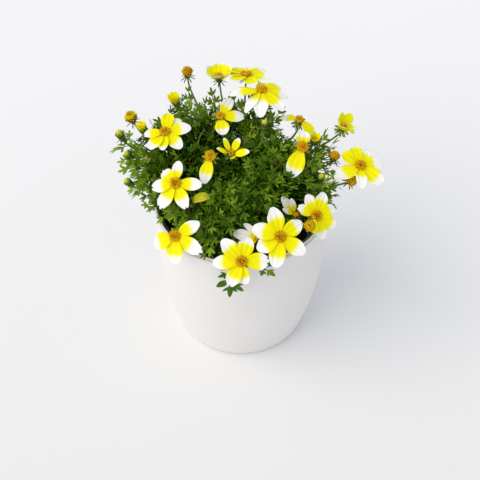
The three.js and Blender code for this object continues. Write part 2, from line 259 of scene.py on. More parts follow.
# Buds and spent heads. size is the head's width and height in the CAD model, drawn is what it
# has here where that differs, turned is the way it faces here, clear is how far off leaves stay,
# and petals stand round it.
BUDS = {
    "spent_rim": bloom((10, 35), [
        petal(a, 7, 6, 2.0, lift=-10) for a in (20, 320)
    ], size=(9, 6), kind="spent"),
    "narrow_bloom": bloom((-60, 20), [
        petal(131, 19, 7.5, 0.5, lift=26, curl=4), petal(108, 16, 5, 0.5, lift=42, curl=4),
        petal(160, 15, 4.5, 0.5, lift=46, curl=4),
    ], size=(6, 14), kind="open", drawn=(4, 4), turned=(0, 40), clear=15),
    "bud_back": bloom((0, 5), [], size=(9, 8), drawn=(9.5, 9.5), kind="spent"),
    "bud_back_left": bloom((-70, 15), [
        petal(45 * k, 10, 4, 2.0, lift=66, curl=-16) for k in range(8)
    ], size=(8, 9), kind="open"),
    "bud_left": bloom((-80, 15), [
        petal(a, 10, 5, 2.0, lift=66, curl=-12) for a in (-40, 0, 40, 80)
    ], size=(9, 10), drawn=(11, 10), kind="spent"),
    "bud_far_left": bloom((-90, 20), [], size=(7, 7), kind="closed"),
    "spent_right": bloom((60, 15), [], size=(8, 7), kind="spent"),
    "spent_far_right": bloom(
        (60, 35), [], size=(9, 7), drawn=(10, 8), turned=(20, 35), kind="spent"
    ),
}

# Buds too small for a CAD node of their own: where each head is, and where its stem leaves
# the soil
SMALL_BUDS = {
    "bud_left_inner": {"at": (-78, 36, 180), "root": (-39, 18), "faces": (-80, 20), "kind": "open"},
    "bud_left_low": {"at": (-89, 14, 172), "root": (-44, 7), "faces": (-90, 30), "kind": "closed"},
    "bud_left_front": {"at": (-88, -4, 160), "root": (-44, -2), "faces": (-90, 40), "kind": "closed"},
    "bud_right_inner": {"at": (57, 19, 184), "root": (28, 10), "faces": (40, 10), "kind": "open"},
    "bud_back_low": {"at": (18, 24, 196), "root": (9, 14), "faces": (0, 5), "kind": "closed"},
    "bud_right_spent": {"at": (62, -4, 166), "root": (31, -2), "faces": (20, 20), "kind": "closed"},
    "bud_left_curled": {"at": (-38, -31, 166), "root": (-20, -12), "faces": (0, 5), "kind": "curled"},
    "bud_tiny_back": {"at": (4, 26, 176), "root": (3, 14), "faces": (0, 10), "kind": "tiny"},
    "bud_tiny_right": {"at": (26, 5, 174), "root": (14, 3), "faces": (10, 15), "kind": "tiny"},
}

# Foliage: how far it reaches and how high its edge is, by direction in degrees from +X
DOME = {
    0: (69, 162), 22: (57, 166), 45: (38, 170), 65: (52, 173), 90: (56, 175),
    108: (57, 175), 122: (61, 173), 135: (66, 171), 155: (76, 168), 166: (82, 166),
    178: (74, 164), 190: (67, 161), 202: (62, 158), 214: (64, 151), 240: (65, 146),
    255: (64, 144), 285: (52, 145), 310: (42, 146), 328: (48, 153), 345: (64, 160),
}
# Where the dome's stems are too few for the photograph's plant: the tips of some more
EXTRA_TIPS = [
    (-78, 14, 168), (-68, 0, 165), (-70, -12, 163), (-60, -24, 158), (-82, 28, 173),
    (-62, 10, 172), (-68, 30, 172), (-70, 8, 170), (-64, 34, 172), (-66, 20, 173),
    (-52, 44, 172), (-44, 49, 173), (-33, 52, 176), (-20, 55, 178), (60, -12, 162),
    (54, -20, 160), (66, 3, 163), (57, 20, 171),
]

# The dome's middle height, how late its side falls, its stems, and the leaves on them
CROWN_HEIGHT = 173.0
CROWN_SHAPE = 2.4
BRANCHES = 104
LEAF_SPACING = 10.0
INNER_PAIRS = 4
OUTER_PAIRS = 6
OUTER_SHARE = 0.6
LEAF_LENGTH = 27.0

# Tones and sizes of a stem's pairs of leaves, from its tip down. The tones fall from the tip partly
# because young leaves are a lighter green and partly as painted shade deeper in the foliage. The
# leaves of the outer and extra tips are paler as painted light at the foliage's edge.
PAIR_TONES_AND_PAINTED_SHADE = (0.74, 0.66, 0.48, 0.3, 0.18, 0.1, 0.05)
PAIR_SIZES = (0.78, 0.95, 1.05, 1.1)
TONE_SPREAD = 0.2
OUTER_PAINTED_LIGHT = 0.05
EXTRA_PAINTED_LIGHT = 0.12
HANGING_TONE = 0.66
BRANCH_TONE = 0.55

# How a leaf leaves its stem and droops, in degrees, and how much of a stem's foot is bare
YOUNG_LEAN = (24, 40)
LEAF_LEAN = (46, 72)
DROOP = (10, 55)
YOUNG_DROOP = -25
LEAF_TWIST = 22
BARE_FOOT = 8.0

# Leafy stems: their radii, sides and points, where they root and where they bend
BRANCH_THICK = 0.95
BRANCH_THIN = 0.5
BRANCH_SIDES = 5
PATH_STEPS = 30
ROOT_SHARES = (0.42, 0.55)
BEND_OUT = 0.72
BEND_UP = 0.75
BEND_DROP = 6

# One in so many of a leaf's points is tested: how near to a flower's plane it may come, the
# share of the flower that it may not cover, and how near it may come to the rim
POINTS_TESTED = 7
CLEAR_GAP = 2.5
COVERED_SHARE = 0.92
RIM_GAP = 2.0

# Shoots: a point that bends each, and its tip, which is at or near its tip in the CAD model
SHOOTS = {
    "left": ((-52, 8, 172), (-74, 8, 170)),
    "back_left": ((-30, 40, 172), (-42, 62, 178)),
    "back": ((8, 44, 170), (16, 66, 176)),
    "right": ((50, 8, 166), (66, 18, 166)),
    "front": ((-20, -30, 164), (-26, -50, 160)),
    "spill": ((-10, -80, 160), (-8, -79, 126)),
}


# Shapes


class Shape:
    """Points, faces of four or three points, and named values at the points."""

    def __init__(self, points, faces, **values):
        self.points = np.asarray(points, float).reshape(-1, 3)
        self.faces = np.asarray(faces, int).reshape(-1, 4)
        self.values = values

    def with_values(self, **values):
        """The same shape with values added: one number for all points, or one for each."""
        full = {k: np.broadcast_to(v, len(self.points)) for k, v in values.items()}
        return Shape(self.points, self.faces, **{**self.values, **full})

    def placed(self, turn=None, at=(0, 0, 0)):
        """The shape turned by a matrix, then moved."""
        points = self.points if turn is None else self.points @ np.asarray(turn).T
        return Shape(points + np.asarray(at, float), self.faces, **self.values)

    def scaled(self, size):
        return Shape(self.points * size, self.faces, **self.values)

    def bent(self, length, angle):
        """A shape that grows along +X, bent back towards -Z by an angle over its length."""
        return Shape(bent(self.points, length, angle), self.faces, **self.values)


def joined(shapes):
    """Several shapes as one."""
    starts = np.cumsum([0] + [len(s.points) for s in shapes])
    faces = [np.where(s.faces < 0, s.faces, s.faces + n) for s, n in zip(shapes, starts)]
    names = shapes[0].values
    values = {k: np.concatenate([s.values[k] for s in shapes]) for k in names}
    return Shape(np.vstack([s.points for s in shapes]), np.vstack(faces), **values)


def unit(v):
    return v / np.linalg.norm(v, axis=-1, keepdims=True)


def turn_about(axis, angle):
    """The matrix that turns by an angle in degrees about an axis."""
    x, y, z = unit(np.asarray(axis, float))
    cross = np.array([[0, -z, y], [z, 0, -x], [-y, x, 0]])
    a = math.radians(angle)
    return np.eye(3) + math.sin(a) * cross + (1 - math.cos(a)) * cross @ cross


def turn_x(angle):
    return turn_about((1, 0, 0), angle)


def turn_y(angle):
    return turn_about((0, 1, 0), angle)


def turn_z(angle):
    return turn_about((0, 0, 1), angle)


def bent(points, length, angle):
    """Points that lie along +X, bent back towards -Z by an angle over a length."""
    if abs(angle) < 1e-3:
        return points
    radius = length / math.radians(angle)
    turn = points[..., 0] / radius
    out = points.copy()
    out[..., 0] = (radius + points[..., 2]) * np.sin(turn)
    out[..., 2] = (radius + points[..., 2]) * np.cos(turn) - radius
    return out


def grid_faces(rows, columns, closed=False):
    """Faces between the neighbours of a grid of points, whose columns may run in a ring."""
    i, j = np.meshgrid(
        np.arange(rows - 1), np.arange(columns if closed else columns - 1), indexing="ij"
    )
    across = (j + 1) % columns
    corners = [i * columns + j, i * columns + across]
    corners += [corners[1] + columns, corners[0] + columns]
    return np.stack(corners, -1).reshape(-1, 4)


def skin(rings, first=None, last=None):
    """A skin over rings of points, closed at an end by a point where one is given."""
    rings = np.asarray(rings, float)
    rows, columns = rings.shape[:2]
    points = [rings.reshape(-1, 3)]
    faces = [grid_faces(rows, columns, closed=True)]
    ring = np.arange(columns)
    after = (ring + 1) % columns
    none = np.full(columns, -1)
    middle = rows * columns
    if first is not None:
        points.append(np.reshape(first, (1, 3)))
        faces.append(np.stack([np.full(columns, middle), after, ring, none], -1))
        middle += 1
    if last is not None:
        end = (rows - 1) * columns
        points.append(np.reshape(last, (1, 3)))
        faces.append(np.stack([np.full(columns, middle), ring + end, after + end, none], -1))
    return Shape(np.vstack(points), np.vstack(faces))


def round_turn(count):
    """Angles in radians, evenly round a full turn."""
    return np.arange(count) * 2 * np.pi / count


def turned(profile, sides):
    """A solid of revolution round +Z, from [radius, height] points that start and end at 0."""
    inner = np.array(profile[1:-1], float)
    turn = round_turn(sides)
    x = inner[:, :1] * np.cos(turn)
    y = inner[:, :1] * np.sin(turn)
    z = np.broadcast_to(inner[:, 1:], x.shape)
    ends = [(0, 0, profile[k][1]) for k in (0, -1)]
    return skin(np.stack([x, y, z], -1), *ends)


def bezier(corners, steps):
    t = np.linspace(0, 1, steps)[:, None]
    a, b, c, d = np.asarray(corners, float)
    return a * (1 - t) ** 3 + 3 * b * t * (1 - t) ** 2 + 3 * c * t**2 * (1 - t) + d * t**3


# A way that no stem starts out in, from which the first direction across it is found
NO_STEM_WAY = (0.31, 0.95, 0.05)


def frames_along(path):
    """The way a path goes at its points, and two directions square to it that don't spin."""
    ways = unit(np.gradient(path, axis=0))
    side = np.cross(ways[0], NO_STEM_WAY)
    sides = []
    for way in ways:
        side = unit(side - way * (side @ way))
        sides.append(side)
    return ways, np.array(sides), np.cross(ways, sides)


def tube(path, radii, sides):
    """A closed tube along a path, with its radius at each point."""
    _, across, upward = frames_along(path)
    turn = round_turn(sides)[:, None, None]
    spokes = np.cos(turn) * across + np.sin(turn) * upward
    rings = path[:, None] + np.asarray(radii)[:, None, None] * spokes.transpose(1, 0, 2)
    return skin(rings, path[0], path[-1])


def sheet(grid, thickness):
    """A thin closed sheet over a grid of points, thinner towards its edges."""
    rows, columns = grid.shape[:2]
    normal = unit(np.cross(np.gradient(grid, axis=0), np.gradient(grid, axis=1)))
    across = np.abs(np.linspace(-1, 1, columns)) ** 6
    along = np.abs(np.linspace(0, 1, rows)) ** 10
    thin = 1 - 0.6 * np.maximum(across[None, :], along[:, None])
    half = normal * (thickness / 2 * thin)[..., None]
    top, under = (grid + half).reshape(-1, 3), (grid - half).reshape(-1, 3)
    faces = grid_faces(rows, columns)
    number = np.arange(rows * columns).reshape(rows, columns)
    edge = [number[:-1, 0], number[-1, :-1], number[:0:-1, -1], number[0, :0:-1]]
    edge = np.concatenate(edge)
    after = np.roll(edge, -1)
    count = rows * columns
    wall = np.stack([edge + count, after + count, after, edge], -1)
    return Shape(np.vstack([top, under]), np.vstack([faces[:, ::-1], faces + count, wall]))


def blade(length, width, places=(0, 0.5, 0.85), widths=(0.5, 1, 0.62), ridge=0.3):
    """A thin closed blade along +X, with its upper side, which has a low ridge, towards +Z."""
    rings = []
    for place, share in zip(places, widths):
        half = width * share / 2
        x = place * length
        rings.append([(x, half, 0), (x, 0, half * ridge), (x, -half, 0)])
    made = skin(rings, None, (length, 0, 0))
    made.faces = np.vstack([made.faces, [2, 1, 0, -1]])
    return made


# Pieces


def in_scene(name, data):
    """A Blender object of this data, in the scene."""
    made = bpy.data.objects.new(name, data)
    bpy.context.scene.collection.objects.link(made)
    return made


# The material of each slot, which main fills in
materials = {}


def make_piece(name, shape, slot, nodes=(), smooth=True):
    """Makes a Blender object from a shape, in metres, which rides on the part's only body,
    with its slot's material and the CAD nodes that it stands for."""
    mesh = bpy.data.meshes.new(name)
    faces = [face if face[3] >= 0 else face[:3] for face in shape.faces.tolist()]
    mesh.from_pydata((shape.points * MM).tolist(), [], faces)
    for key, values in shape.values.items():
        attribute = mesh.attributes.new(key, "FLOAT", "POINT")
        attribute.data.foreach_set("value", np.asarray(values, np.float32))
    mesh.materials.append(materials[slot])
    if smooth:
        mesh.shade_smooth()
    mesh.validate()
    mesh.update()
    piece = in_scene(name, mesh)
    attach(piece, "root")
    if nodes:
        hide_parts(*nodes)


# Materials


class Paint:
    """One material, and short ways to add the nodes behind it."""

    def __init__(self, name, roughness, shine):
        self.material = bpy.data.materials.new(name)
        self.material.use_nodes = True
        self.tree = self.material.node_tree
        self.surface = self.tree.nodes["Principled BSDF"]
        self.surface.inputs["Specular IOR Level"].default_value = shine
        self.surface.inputs["Roughness"].default_value = roughness

    def node(self, kind, inputs=(), **settings):
        """A node with its settings, and its inputs set or linked by name or number."""
        made = self.tree.nodes.new(kind)
        for key, value in settings.items():
            setattr(made, key, value)
        for key, value in dict(inputs).items():
            if isinstance(value, bpy.types.NodeSocket):
                self.tree.links.new(value, made.inputs[key])
            else:
                made.inputs[key].default_value = value
        return made

    def value(self, name):
        """A value that the mesh has at its points."""
        return self.node("ShaderNodeAttribute", attribute_name=name).outputs["Fac"]

    def math(self, operation, *terms):
        return self.node("ShaderNodeMath", dict(enumerate(terms)), operation=operation).outputs[0]

    def noise(self, scale, detail=3.0, vector=None):
        """Noise over the piece, with its scale per metre unless a vector is given."""
        if vector is None:
            vector = self.node("ShaderNodeTexCoord").outputs["Object"]
        inputs = {"Scale": scale, "Detail": detail, "Vector": vector}
        return self.node("ShaderNodeTexNoise", inputs).outputs["Fac"]

    def vector(self, x, y, z):
        return self.node("ShaderNodeCombineXYZ", {"X": x, "Y": y, "Z": z}).outputs[0]

    def ranged(self, value, low, high, to_low=0.0, to_high=1.0, smooth=False):
        inputs = {"Value": value, "From Min": low, "From Max": high}
        inputs.update({"To Min": to_low, "To Max": to_high})
        kind = "SMOOTHSTEP" if smooth else "LINEAR"
        return self.node("ShaderNodeMapRange", inputs, interpolation_type=kind).outputs[0]

    def ramp(self, value, stops):
        """A colour from a value, by stops of [place, colour]."""
        made = self.node("ShaderNodeValToRGB", {"Fac": value})
        elements = made.color_ramp.elements
        while len(elements) < len(stops):
            elements.new(0.5)
        for element, (place, colour) in zip(elements, stops):
            element.position = place
            element.color = (*colour, 1)
        return made.outputs["Color"]

    def mix(self, share, a, b):
        """A colour between two, each a colour or a socket."""
        inputs = {0: share, 6: a, 7: b}
        for key in (6, 7):
            if isinstance(inputs[key], tuple):
                inputs[key] = (*inputs[key], 1)
        return self.node("ShaderNodeMix", inputs, data_type="RGBA").outputs[2]

    def colour(self, socket):
        self.tree.links.new(socket, self.surface.inputs["Base Color"])

    def roughness(self, socket):
        self.tree.links.new(socket, self.surface.inputs["Roughness"])

    def bump(self, height, distance, strength):
        """Small relief, from a height and its full depth in mm."""
        inputs = {"Height": height, "Distance": distance * MM, "Strength": strength}
        made = self.node("ShaderNodeBump", inputs)
        self.tree.links.new(made.outputs[0], self.surface.inputs["Normal"])


def pot_material():
    """Satin white moulded plastic."""
    paint = Paint("cachepot_plastic", 0.42, 0.45)
    wide = paint.noise(14, 2)
    fine = paint.noise(900, 4)
    tint = paint.ramp(wide, [(0.3, (0.825, 0.80, 0.78)), (0.7, (0.85, 0.83, 0.815))])
    paint.colour(paint.mix(paint.ranged(fine, 0.4, 0.7, 0, 0.06), tint, (0.7, 0.69, 0.67)))
    paint.roughness(paint.ranged(wide, 0.3, 0.7, 0.36, 0.48))
    paint.bump(fine, 0.05, 0.25)
    return paint.material


def grower_material():
    """Dark polypropylene, thin and a little dusty."""
    paint = Paint("grower_pot_plastic", 0.38, 0.5)
    dust = paint.noise(60, 5)
    fine = paint.noise(700, 3)
    shade = paint.ramp(dust, [(0.35, (0.035, 0.036, 0.04)), (0.75, (0.10, 0.10, 0.105))])
    paint.colour(shade)
    paint.roughness(paint.ranged(dust, 0.3, 0.7, 0.3, 0.6))
    paint.bump(fine, 0.08, 0.3)
    return paint.material


def soil_material():
    """Dark peat, with value light for the grains of perlite."""
    paint = Paint("peat_soil", 0.95, 0.2)
    coarse = paint.noise(320, 6)
    peat = [(0.3, (0.010, 0.007, 0.004)), (0.55, (0.035, 0.022, 0.012)), (0.8, (0.09, 0.06, 0.03))]
    grains = paint.ramp(coarse, peat)
    paint.colour(paint.mix(paint.value("light"), grains, (0.62, 0.6, 0.55)))
    paint.bump(coarse, 0.8, 0.8)
    return paint.material


# What grows, by its tone: greens, then yellows, then oranges and browns
TONES = [
    (0.00, (0.022, 0.055, 0.008)),
    (0.15, (0.075, 0.150, 0.022)),
    (0.30, (0.200, 0.300, 0.040)),
    (0.45, (0.480, 0.500, 0.030)),
    (0.60, (0.870, 0.760, 0.004)),
    (0.74, (0.900, 0.450, 0.002)),
    (0.87, (0.720, 0.220, 0.003)),
    (1.00, (0.240, 0.060, 0.003)),
]
GREEN, LIGHT_GREEN, LIME, YELLOW, GOLD, ORANGE, BROWN = [tone for tone, _ in TONES[1:]]


def tone_material(name, roughness, grain, depth):
    """The material of a growing thing, coloured by its tone and varied by noise."""
    paint = Paint(name, roughness, 0.15)
    coarse = paint.noise(grain, 3)
    tone = paint.math("ADD", paint.value("tone"), paint.ranged(coarse, 0.3, 0.7, -0.05, 0.05))
    fine = paint.noise(grain * 4, 2)
    colour = paint.ramp(tone, TONES)
    paint.colour(paint.mix(paint.ranged(fine, 0.4, 0.75, 0, 0.16), colour, (0.02, 0.02, 0.01)))
    paint.bump(fine, depth, 0.5)
    return paint.material


def leaf_material():
    """Leaves: each has its own tone, varied by patchy and fine noise."""
    paint = Paint("bidens_leaf", 0.5, 0.12)
    patchy = paint.noise(260, 3)
    tone = paint.math("ADD", paint.value("tone"), paint.ranged(patchy, 0.3, 0.7, -0.12, 0.12))
    greens = [
        (0.0, (0.004, 0.014, 0.001)),
        (0.35, (0.019, 0.058, 0.002)),
        (0.65, (0.066, 0.158, 0.004)),
        (1.0, (0.235, 0.370, 0.020)),
    ]
    fine = paint.noise(900, 2)
    tone = paint.math("ADD", tone, paint.ranged(fine, 0.3, 0.7, -0.06, 0.06))
    paint.colour(paint.ramp(tone, greens))
    paint.roughness(paint.ranged(patchy, 0.3, 0.7, 0.5, 0.7))
    paint.bump(fine, 0.1, 0.4)
    return paint.material


def petal_material():
    """Petals: yellow, then white beyond a soft, streaked edge. Values along and across say
    where a point is on its petal, white where its white starts, and tone which petal it is."""
    paint = Paint("bidens_petal", 0.55, 0.1)
    along, across, tone = [paint.value(name) for name in ("along", "across", "tone")]

    def lines(aside, onward, detail):
        """Noise drawn out along the petal, and another for each petal."""
        parts = zip((across, along, tone), (aside, onward, 40.0))
        place = paint.vector(*[paint.math("MULTIPLY", *part) for part in parts])
        return paint.noise(1.0, detail, place)

    streaks = lines(6.0, 1.6, 3)
    edge = paint.math("SUBTRACT", along, paint.value("white"))
    edge = paint.math("ADD", edge, paint.math("MULTIPLY", paint.math("ABSOLUTE", across), 0.04))
    edge = paint.math("ADD", edge, paint.ranged(streaks, 0.25, 0.75, -0.055, 0.055))
    white = paint.ranged(edge, -0.08, 0.09, smooth=True)
    deep = paint.ranged(along, 0.0, 0.45)
    yellow = paint.ramp(deep, [(0.0, (0.90, 0.74, 0.0)), (1.0, (0.91, 0.87, 0.0))])
    yellow = paint.mix(paint.ranged(streaks, 0.3, 0.7, 0, 0.35), yellow, (0.88, 0.86, 0.0))
    pale = paint.ramp(edge, [(0.0, (0.93, 0.92, 0.62)), (0.18, (0.93, 0.925, 0.91))])
    paint.colour(paint.mix(white, yellow, pale))
    paint.bump(lines(22.0, 2.0, 2), 0.09, 0.5)
    return paint.material


# Reading the frame


def node_points(node):
    """A CAD node's points, each once, in mm."""
    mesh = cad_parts[node].data
    flat = np.empty(3 * len(mesh.vertices), np.float32)
    mesh.vertices.foreach_get("co", flat)
    return np.unique(np.round(flat.reshape(-1, 3) / MM, 3), axis=0)


# The height at which the CAD model's shoots start
ROOT_LEVEL = node_points("shoot_left")[:, 2].min()


class Head:
    """Where a flower or bud is: the middle of its head, its root, and the way it faces."""

    def __init__(self, faces, at, root):
        heading, tilt = np.radians(faces)
        flat = np.array([math.sin(heading), -math.cos(heading), 0.0])
        self.facing = flat * math.sin(tilt) + UP * math.cos(tilt)
        right = np.array([math.cos(heading), math.sin(heading), 0.0])
        self.axes = np.stack([right, np.cross(self.facing, right), self.facing], -1)
        self.at = np.asarray(at, float)
        self.root = np.asarray(root, float)
        self.reach = 0.0

    def put(self, shape):
        """A shape made round +Z at the origin, set on this head."""
        return shape.placed(self.axes, self.at)

    def stem_path(self, neck=None):
        """Straight up out of the soil, then round to meet the head from behind."""
        neck = neck or NECK_SHARE * np.linalg.norm(self.at - self.root)
        rise = ROOT_RISE * (self.at[2] - self.root[2])
        end = self.at - self.facing * CALYX_HEIGHT / 2
        return bezier([self.root, self.root + UP * rise, end - self.facing * neck, end], STEM_STEPS)


def head_of(node, faces, top_height):
    """The head of a CAD stem or bud, whose highest point is top_height above its middle."""
    points = node_points(node)
    head = Head(faces, (0, 0, 0), points[points[:, 2] < points[:, 2].min() + TOUCH].mean(0))
    level = points @ head.facing
    head.at = points[level > level.max() - TOUCH].mean(0) - head.facing * top_height
    return head


# Flowers


def petal_shape(length, width, curl, teeth, white):
    """One petal along +X from its foot, facing +Z."""
    u = (np.linspace(0, 1, PETAL_ROWS) ** 0.85)[:, None]
    v = np.linspace(-1, 1, PETAL_COLUMNS)[None, :]
    swell = np.sin(np.pi / 2 * np.minimum(u / WIDEST_AT, 1.0)) ** 0.85
    drop = np.clip((u - 0.5) / 0.5, 0, 1) ** 2
    half = width / 2 * (FOOT_WIDTH + (1 - FOOT_WIDTH) * swell) * (1 - END_TAPER * drop)
    tip = 1 - random.uniform(0.21, 0.29) * np.abs(v) ** random.uniform(2.1, 2.5)
    for notch in NOTCHES[teeth]:
        tip = tip - NOTCH_DEPTHS[teeth] * np.exp(-(((v - notch) / NOTCH_WIDTH) ** 2))
    x = length * u * (1 - (1 - tip) * u**2)
    y = half * v
    grooves = GROOVE_DEPTH * width * np.cos(3 * np.pi * v) * np.sin(np.pi * np.clip(u * 0.95, 0, 1))
    waves = WAVE_DEPTH * width * v**2 * np.sin(2 * np.pi * (1.2 * u + random.random()))
    z = PETAL_CUP * width * np.abs(v) ** 2 * (0.4 + 0.6 * u) + grooves + waves
    grid = np.stack(np.broadcast_arrays(x, y, z), -1)
    along = np.broadcast_to(grid[..., 0] / length, grid.shape[:2]).ravel()
    across = np.broadcast_to(v, grid.shape[:2]).ravel()
    made = sheet(bent(grid, length, curl), PETAL_THICKNESS)
    return made.with_values(
        along=np.tile(along, 2), across=np.tile(across, 2), white=white, tone=random.random()
    )


def petals_of(look, start=PETAL_START):
    """A head's petals, each turned a little like a propeller's blades so that none cross."""
    made = []
    for k, one in enumerate(look["petals"]):
        curl = one.get("curl", PETAL_CURL) + either_way(CURL_SPREAD)
        width = one["width"] or look["width"]
        lift = one.get("lift", look.get("lift", 0)) + either_way(LIFT_SPREAD)
        teeth = one.get("teeth", 0)
        shape = petal_shape(one["length"] - start, width, curl, teeth, one["white"])
        turn = turn_y(-lift - curl * 0.3) @ turn_x(PETAL_PITCH + either_way(PITCH_SPREAD))
        shape = shape.placed(turn, (start, 0, PETAL_LEVEL + PETAL_LAYER * (k % 2)))
        made.append(shape.placed(turn_z(one["angle"])))
    return joined(made)


def spoked(shape, count, radius, height, lift, lead=0.0, unsteady=6.0):
    """Copies of a shape that grows along +X, as spokes round +Z that rise by an angle."""
    made = []
    for k in range(count):
        rise = turn_y(-lift - either_way(unsteady))
        spoke = shape.placed(rise, (radius, 0, height))
        angle = lead + 360 * k / count + either_way(unsteady)
        made.append(spoke.placed(turn_z(angle)))
    return joined(made)


def floret(profile, tones, sides=6):
    """One floret, with a tone for each point of its profile."""
    made = turned(profile, sides)
    inner = np.repeat(tones[1:-1], sides)
    return made.with_values(tone=np.concatenate([inner, [tones[0], tones[-1]]]))


EGG = (YELLOW + GOLD) / 2
CLOSED_FLORET = floret(
    [(0, 0), (0.42, 0.1), (0.52, 0.9), (0.58, 1.5), (0.34, 2.0), (0, 2.2)],
    [BROWN, ORANGE, ORANGE, GOLD, GOLD, EGG],
)
OPEN_FLORET = floret(
    [(0, 0), (0.40, 0.1), (0.46, 1.3), (0.86, 1.95), (0.42, 1.8), (0, 1.7)],
    [ORANGE, GOLD, GOLD, EGG, EGG, GOLD],
)
ANTHERS = floret(
    [(0, 1.4), (0.22, 1.5), (0.24, 2.3), (0.34, 2.7), (0.16, 3.0), (0, 3.1)],
    [BROWN, ORANGE, ORANGE, GOLD, EGG, YELLOW],
    5,
)


def disc_shape(radius=DISC_RADIUS, dome=DISC_DOME, count=FLORETS, open_share=0.5, lean=34, level=0.9):
    """The florets in the middle of a head, the outer ones open, on a low dome."""
    seat = [(0, level - 0.7), (radius * 0.8, level - 0.6), (radius * 0.94, level + 0.1)]
    seat += [(radius * 0.6, level + dome * 0.7), (0, level + dome)]
    made = [floret(seat, [BROWN] * 5, 16)]
    for k in range(count):
        share = math.sqrt((k + 0.5) / count)
        height = level - 0.2 + dome * (1 - share**2)
        size = FLORET_SIZE * random.uniform(0.88, 1.12)
        parts = [OPEN_FLORET, ANTHERS] if share > 1 - open_share else [CLOSED_FLORET]
        turn = turn_y(lean * share + either_way(5))
        for part in parts:
            one = part.scaled(size).placed(turn, (radius * 0.93 * share, 0, height))
            one = one.with_values(tone=one.values["tone"] + random.uniform(-0.06, 0.09))
            made.append(one.placed(turn_z(k * GOLDEN_ANGLE)))
    return joined(made)


INNER_BRACT = 5.0
OUTER_BRACT = 4.6
SHORT_BRACT = 4.2
LEVEL_LIFT = 12.0


def calyx_lift(look):
    """How steeply a flower's inner bracts rise, so that they stay behind its petals."""
    lifts = [one.get("lift", look.get("lift", 0)) for one in look["petals"]]
    lowest = min(lifts)
    return LEVEL_LIFT + (lowest if lowest < 0 else 0.6 * lowest)


def calyx_shape(inner_lift, outer_lift=-12, bract=OUTER_BRACT, inner_tone=LIGHT_GREEN):
    """The green cup behind a head: a receptacle, broad inner bracts, narrow outer bracts."""
    cup = [(0, -5.4), (0.8, -5.2), (1.5, -4.5), (2.6, -3.1), (3.0, -1.6), (2.8, -0.2), (0, 0.3)]
    receptacle = turned(cup, 12).with_values(tone=GREEN)
    broad = blade(INNER_BRACT, 2.7, (0, 0.25, 0.55, 0.85), (0.6, 0.95, 1, 0.6), 0.16)
    broad = broad.with_values(tone=inner_tone + 0.06 * broad.points[:, 0] / INNER_BRACT)
    narrow = blade(bract, 1.05, (0, 0.3, 0.65, 0.9), (0.9, 0.9, 1, 0.6), 0.35)
    narrow = narrow.bent(bract, 34).with_values(tone=GREEN - 0.04)
    return joined(
        [
            receptacle,
            spoked(broad, 8, 2.2, -1.4, inner_lift),
            spoked(narrow, 8, 2.3, -3.3, outer_lift, lead=22, unsteady=12),
        ]
    )


STEM_TONE = GREEN + 0.04


def stem_shape(path):
    """A stem along a path, ribbed, thinner towards its head, and started in the soil."""
    whole = np.vstack([path[0] - UP * ROOT_DEPTH, path])
    shares = np.linspace(0, 1, len(whole))
    made = tube(whole, STEM_THICK + (STEM_THIN - STEM_THICK) * shares, STEM_SIDES)
    rib = np.tile([0.03, -0.03], STEM_SIDES // 2)
    tones = STEM_TONE + 0.05 * shares[:, None] + rib[None, :]
    return made.with_values(tone=np.concatenate([tones.ravel(), [STEM_TONE, STEM_TONE]]))


heads = []


def keep_clear(head, reach):
    """Leaves keep out of a head's way, as far out as it reaches."""
    head.reach = reach
    heads.append(head)


def make_flower(name, look):
    """A flower's stem, petals and disc. The disc of a small flower has no CAD node."""
    small = "disc" in look
    head = head_of("stem_" + name, look["faces"], SMALL_CORE_TOP if small else 0.0)
    keep_clear(head, max(p["length"] for p in look["petals"]))
    calyx = head.put(calyx_shape(calyx_lift(look)))
    stem = joined([stem_shape(head.stem_path(look.get("neck"))), calyx])
    make_piece("stem_" + name, stem, "stem", ["stem_" + name])
    rays = head.put(petals_of(look))
    make_piece("petals_" + name, rays, "petals", ["petals_" + name])
    if small:
        size = look["disc"]
        count = int(FLORETS * size**2) + SPARE_FLORETS
        disc = disc_shape(DISC_RADIUS * size, DISC_DOME, count)
    else:
        disc = disc_shape()
    nodes = [] if small else ["disc_" + name]
    make_piece("disc_" + name, head.put(disc), "disc", nodes)


# Buds


def spent_head(width, height):
    """A head of upright florets without petals, above green bracts."""
    radius = width / 2
    florets = disc_shape(
        radius * 0.92, dome=height * 0.5, count=46, open_share=0.75, lean=22, level=0.6
    )
    return joined([calyx_shape(66, -8, inner_tone=GREEN), florets])


def curled_head(length, width):
    """A head with one petal left, of this length and width, which arches over to one side."""
    ray = petal_shape(length, width, curl=105, teeth=0, white=2.0)
    ray = ray.placed(turn_y(-64), (0.5, 0, 0.6))
    ray = ray.placed(turn_z(8)).with_values(tone=LIME + 0.05)
    return joined([calyx_shape(66, -8, inner_tone=LIGHT_GREEN), ray])


def closed_head(width, height):
    """A closed bud: broad bracts that overlap over a yellow-green core."""
    radius = width / 2
    outline = [(0, -1.0), (0.55, -0.8), (0.92, 0.15), (1.0, 0.4), (0.72, 0.75), (0, 1.0)]
    profile = [(r * radius * 0.86, h * height if h > 0 else h) for r, h in outline]
    core = floret(profile, [GREEN, GREEN, LIME, LIME, LIME + 0.06, YELLOW], 12)
    bract = blade(height * 0.85, width * 0.4, (0, 0.3, 0.6, 0.85), (0.7, 1, 0.9, 0.5), 0.3)
    paler = 0.2 * bract.points[:, 0] / height
    bract = bract.bent(height, -48).with_values(tone=GREEN + 0.02 + paler)
    around = spoked(bract, 6, radius * 0.78, -0.6, 72, unsteady=3)
    return joined([calyx_shape(75, -5, SHORT_BRACT, GREEN), core, around])


def open_head(width, height):
    """A bud that opens: florets just showing inside upright bracts."""
    florets = disc_shape(
        width * 0.36, dome=height * 0.12, count=18, open_share=0.2, lean=18, level=0.6
    )
    return joined([calyx_shape(68, -4, SHORT_BRACT, LIGHT_GREEN), florets])


BUD_KINDS = {
    "spent": spent_head,
    "closed": closed_head,
    "open": open_head,
    "curled": curled_head,
}

